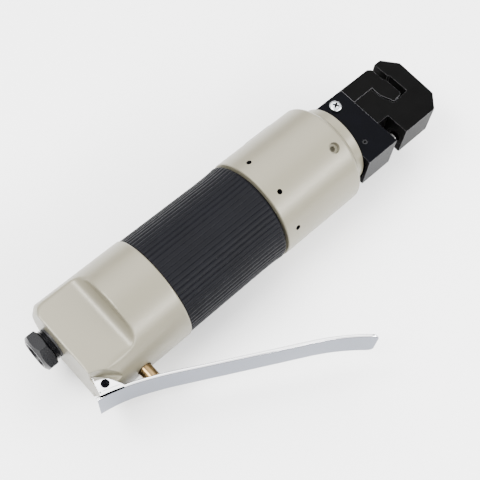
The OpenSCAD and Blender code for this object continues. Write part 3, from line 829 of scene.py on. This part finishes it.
# Piece, CAD node, body, slot, bevel and materials: a second material, for the bevels, is lighter
# steel for rubbed edges and painted highlight lines
BLOCKS = [
    ("head_block", "head_base", "head", "blackened_steel", BASE_BEVEL, BASE_STEEL, EDGE_WEAR_AND_HIGHLIGHT),
    ("anvil_jaw", "anvil_block", "head", "jaw_steel", JAW_BEVEL, JAW_STEEL, EDGE_WEAR_AND_HIGHLIGHT),
    ("flange_jaw", "flange_die", "ram", "jaw_steel", JAW_BEVEL, JAW_STEEL, EDGE_WEAR_AND_HIGHLIGHT),
    ("valve_plug", "valve_cap", "barrel", "blackened_steel", BASE_BEVEL, BASE_STEEL),
]


def make_blocks():
    """Machined blocks: the CAD shapes with small bevels, lighter on the head's blocks for rubbed
    edges and painted highlight lines.
    """
    for name, node, body, slot, width, *materials in BLOCKS:
        block = cad_copy(name, node, *materials)
        bevel(block, width, 2, 40, 1 if len(materials) > 1 else -1)
        smooth(block, 30)
        finish_piece(block, body, slot, node)


def make_grease_screw():
    """Pan head screw with a tapered cross recess."""
    low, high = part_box("grease_screw")
    centre = node_centre("grease_screw")
    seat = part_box("head_base")[1].z
    radius = (high.x - low.x) / 2
    top = high.z
    side = seat + 0.9 * MM
    steps, flat = 8, 0.25
    crown = []
    for i in range(steps + 1):
        a = math.pi / 2 * i / steps
        crown.append((side + (top - side) * math.sin(a),
                      radius * (flat + (1 - flat) * math.cos(a))))
    profile = [(low.z, 1.6 * MM), (seat, 1.6 * MM), (seat, radius - 0.15 * MM),
               (seat + 0.15 * MM, radius)] + crown
    screw = solid_turned("pan_screw", profile, 64, ZINC, PAINTED_SHADE_BLACK, axis="Z",
                         at=(centre.x, centre.y, 0))
    narrow = Matrix.Scale(0.3, 4, (0, 1, 0)) @ Matrix.Rotation(math.pi / 4, 4, "Z")
    # The cross recess's walls take the second material, black painted shade
    for degrees in (30, 120):
        bm = bmesh.new()
        bmesh.ops.create_cone(bm, cap_ends=True, segments=4, radius1=1.4 * MM,
                              radius2=3.1 * MM, depth=2.2 * MM)
        bm.transform(Matrix.Rotation(math.radians(degrees), 4, "Z") @ narrow)
        bm.transform(Matrix.Translation((centre.x, centre.y, top - 0.5 * MM)))
        cut(screw, marked(from_bmesh("slot", bm), 1))
    smooth(screw, 35)
    finish_piece(screw, "head", "zinc", "grease_screw")


def make_punch():
    """Ground punch: a head, a shank and the slimmer nose that enters the die."""
    low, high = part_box("punch")
    centre = node_centre("punch")
    head_end = low.x + 2 * MM
    nose = high.x - 2 * MM
    profile = [(low.x, 3.6 * MM), (low.x + 0.3 * MM, 3.9 * MM), (head_end, 3.9 * MM),
               (head_end, 3.5 * MM), (nose - 0.2 * MM, 3.5 * MM), (nose, 3.2 * MM),
               (high.x - 0.1 * MM, 3.2 * MM), (high.x, 3.1 * MM)]
    punch = solid_turned("ground_punch", profile, 64, STEEL, at=(0, centre.y, 0))
    smooth(punch, 30)
    finish_piece(punch, "ram", "plain_steel", "punch")


def make_rocker_pin():
    """Rolled spring pin: a dark tube with a chamfered end."""
    centre = node_centre("rocker_pin")
    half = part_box("rocker_pin")[1].z
    outer, inner = 1.5 * MM, 0.75 * MM
    profile = [(-half, outer - 0.3 * MM), (-half + 0.3 * MM, outer), (half - 0.3 * MM, outer),
               (half, outer - 0.3 * MM), (half, inner), (-half, inner)]
    pin = turned("spring_pin", profile, 32, INLET_STEEL, axis="Z", at=(centre.x, centre.y, 0))
    smooth(pin, 35)
    finish_piece(pin, "head", "blackened_steel", "rocker_pin")


# ---- Blank rating plate ------------------------------------------------------

PLATE_RIM, PLATE_RISE = 1.08 * MM, 0.24 * MM
PLATE_FIELD, PLATE_EDGE = 0.108 * MM, 0.02 * MM


def plate_height(edge):
    """Height over the barrel by the distance from the plate's edge."""
    if edge <= 0:
        return PLATE_EDGE
    return PLATE_RISE if edge <= PLATE_RIM else PLATE_FIELD


def make_plate():
    """Curved foil plate with a raised rim, without any lettering."""
    low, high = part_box("name_plate")
    half = (high.z - low.z) / 2
    lines, columns = 16, 24
    bm = bmesh.new()
    rows = []
    for i in range(lines + 1):
        x = low.x + (high.x - low.x) * i / lines
        row = []
        for j in range(columns + 1):
            z = -half + 2 * half * j / columns
            edge = min(x - low.x, high.x - x, z + half, half - z)
            angle = math.asin(z / BODY_R)
            reach = BODY_R + plate_height(edge)
            row.append(bm.verts.new((x, AXIS_Y + reach * math.cos(angle),
                                     reach * math.sin(angle))))
        rows.append(row)
    grid_faces(bm, rows, close_columns=False)
    plate = from_bmesh("blank_plate", bm, FOIL)
    solid = plate.modifiers.new("solid", "SOLIDIFY")
    solid.thickness = 0.1 * MM
    solid.offset = -1
    apply_modifiers(plate)
    smooth(plate, 40)
    finish_piece(plate, "barrel", "plate", "name_plate")


# ---- Camera, floor and light -------------------------------------------------

VIEW_AZIMUTH = 219.7
VIEW_ELEVATION = 63.49
VIEW_ROLL = 8.1
VIEW_DISTANCE = 0.4608
VIEW_TARGET = Vector((0.1148, AXIS_Y - 0.009, 0.0))
LENS, SENSOR_WIDTH = 67.6, 36


def direction(azimuth, elevation):
    """The unit vector at an azimuth and an elevation in degrees."""
    azimuth, elevation = math.radians(azimuth), math.radians(elevation)
    return Vector((math.cos(azimuth) * math.cos(elevation),
                   math.sin(azimuth) * math.cos(elevation), math.sin(elevation)))


def make_camera():
    """The camera at the photograph's viewing angle."""
    data = bpy.data.cameras.new("camera")
    data.lens = LENS
    data.sensor_width = SENSOR_WIDTH
    data.clip_start = 0.01
    camera = bpy.data.objects.new("camera", data)
    bpy.context.collection.objects.link(camera)
    back = direction(VIEW_AZIMUTH, VIEW_ELEVATION)
    camera.location = VIEW_TARGET + back * VIEW_DISTANCE
    turn = (-back).to_track_quat("-Z", "Y").to_matrix()
    roll = Matrix.Rotation(math.radians(VIEW_ROLL), 3, "Z")
    camera.rotation_euler = (turn @ roll).to_euler()
    bpy.context.scene.camera = camera


FLOOR_HALF = 3.0
FLOOR_GAP = 0.2 * MM


def make_floor():
    """A plain pale sheet that the part lies on."""
    half = FLOOR_HALF
    corners = [(-half, -half), (half, -half), (half, half), (-half, half)]
    bm = bmesh.new()
    bm.faces.new([bm.verts.new((x, y, cad_low.z - FLOOR_GAP)) for x, y in corners])
    material = surface("floor_paper", (0.93, 0.93, 0.93), 0.9, tint=0.005, patch=3, grain=300)
    floor = from_bmesh("floor", bm, material)


LIGHT_TARGET = Vector((0.12, AXIS_Y, 0))
# Name, azimuth, elevation, distance, length, width and power
SOFTBOXES = [
    ("streak", -66, 31.5, 0.8, 1.2, 0.12, 17),
    ("top", 150, 58, 0.9, 0.6, 0.3, 16),
    ("fill", 57, 51, 0.9, 0.9, 0.9, 8),
]


def softbox(name, azimuth, elevation, distance, length, width, power):
    """A rectangular light aimed at the part, its long side level."""
    away = direction(azimuth, elevation)
    data = bpy.data.lights.new(name, "AREA")
    data.shape = "RECTANGLE"
    data.size = length
    data.size_y = width
    data.energy = power
    light = bpy.data.objects.new(name, data)
    bpy.context.collection.objects.link(light)
    light.location = LIGHT_TARGET + away * distance
    light.rotation_euler = away.to_track_quat("Z", "Y").to_euler()


WORLD_STRENGTH = 2.8
# The dome's colour by the height of the direction: dark at the horizon, white overhead
DOME = [(0.0, (0.05, 0.05, 0.055, 1)), (0.28, (0.06, 0.06, 0.065, 1)),
        (0.45, (0.8, 0.8, 0.8, 1)), (0.7, (1, 1, 1, 1))]


def make_world():
    """A white studio dome with a dark band above the horizon."""
    world = bpy.data.worlds.new("world")
    world.use_nodes = True
    tree = world.node_tree
    background = tree.nodes["Background"]
    background.inputs["Strength"].default_value = WORLD_STRENGTH
    coordinates = tree.nodes.new("ShaderNodeTexCoord")
    parts = tree.nodes.new("ShaderNodeSeparateXYZ")
    heights = tree.nodes.new("ShaderNodeValToRGB")
    elements = heights.color_ramp.elements
    elements[0].position, elements[0].color = DOME[0]
    elements[1].position, elements[1].color = DOME[-1]
    for position, colour in DOME[1:-1]:
        elements.new(position).color = colour
    tree.links.new(coordinates.outputs["Generated"], parts.inputs["Vector"])
    tree.links.new(parts.outputs["Z"], heights.inputs["Fac"])
    tree.links.new(heights.outputs["Color"], background.inputs["Color"])
    bpy.context.scene.world = world


def make_light():
    make_world()
    for box in SOFTBOXES:
        softbox(*box)


make_camera()
make_floor()
make_light()
dress_cad_nodes()
make_rear_housing()
lock_angle = make_front_housing()
make_lock_screw(lock_angle)
make_grip()
make_inlet()
make_lever()
make_lever_pin()
make_plunger()
make_blocks()
make_grease_screw()
make_punch()
make_rocker_pin()
make_plate()
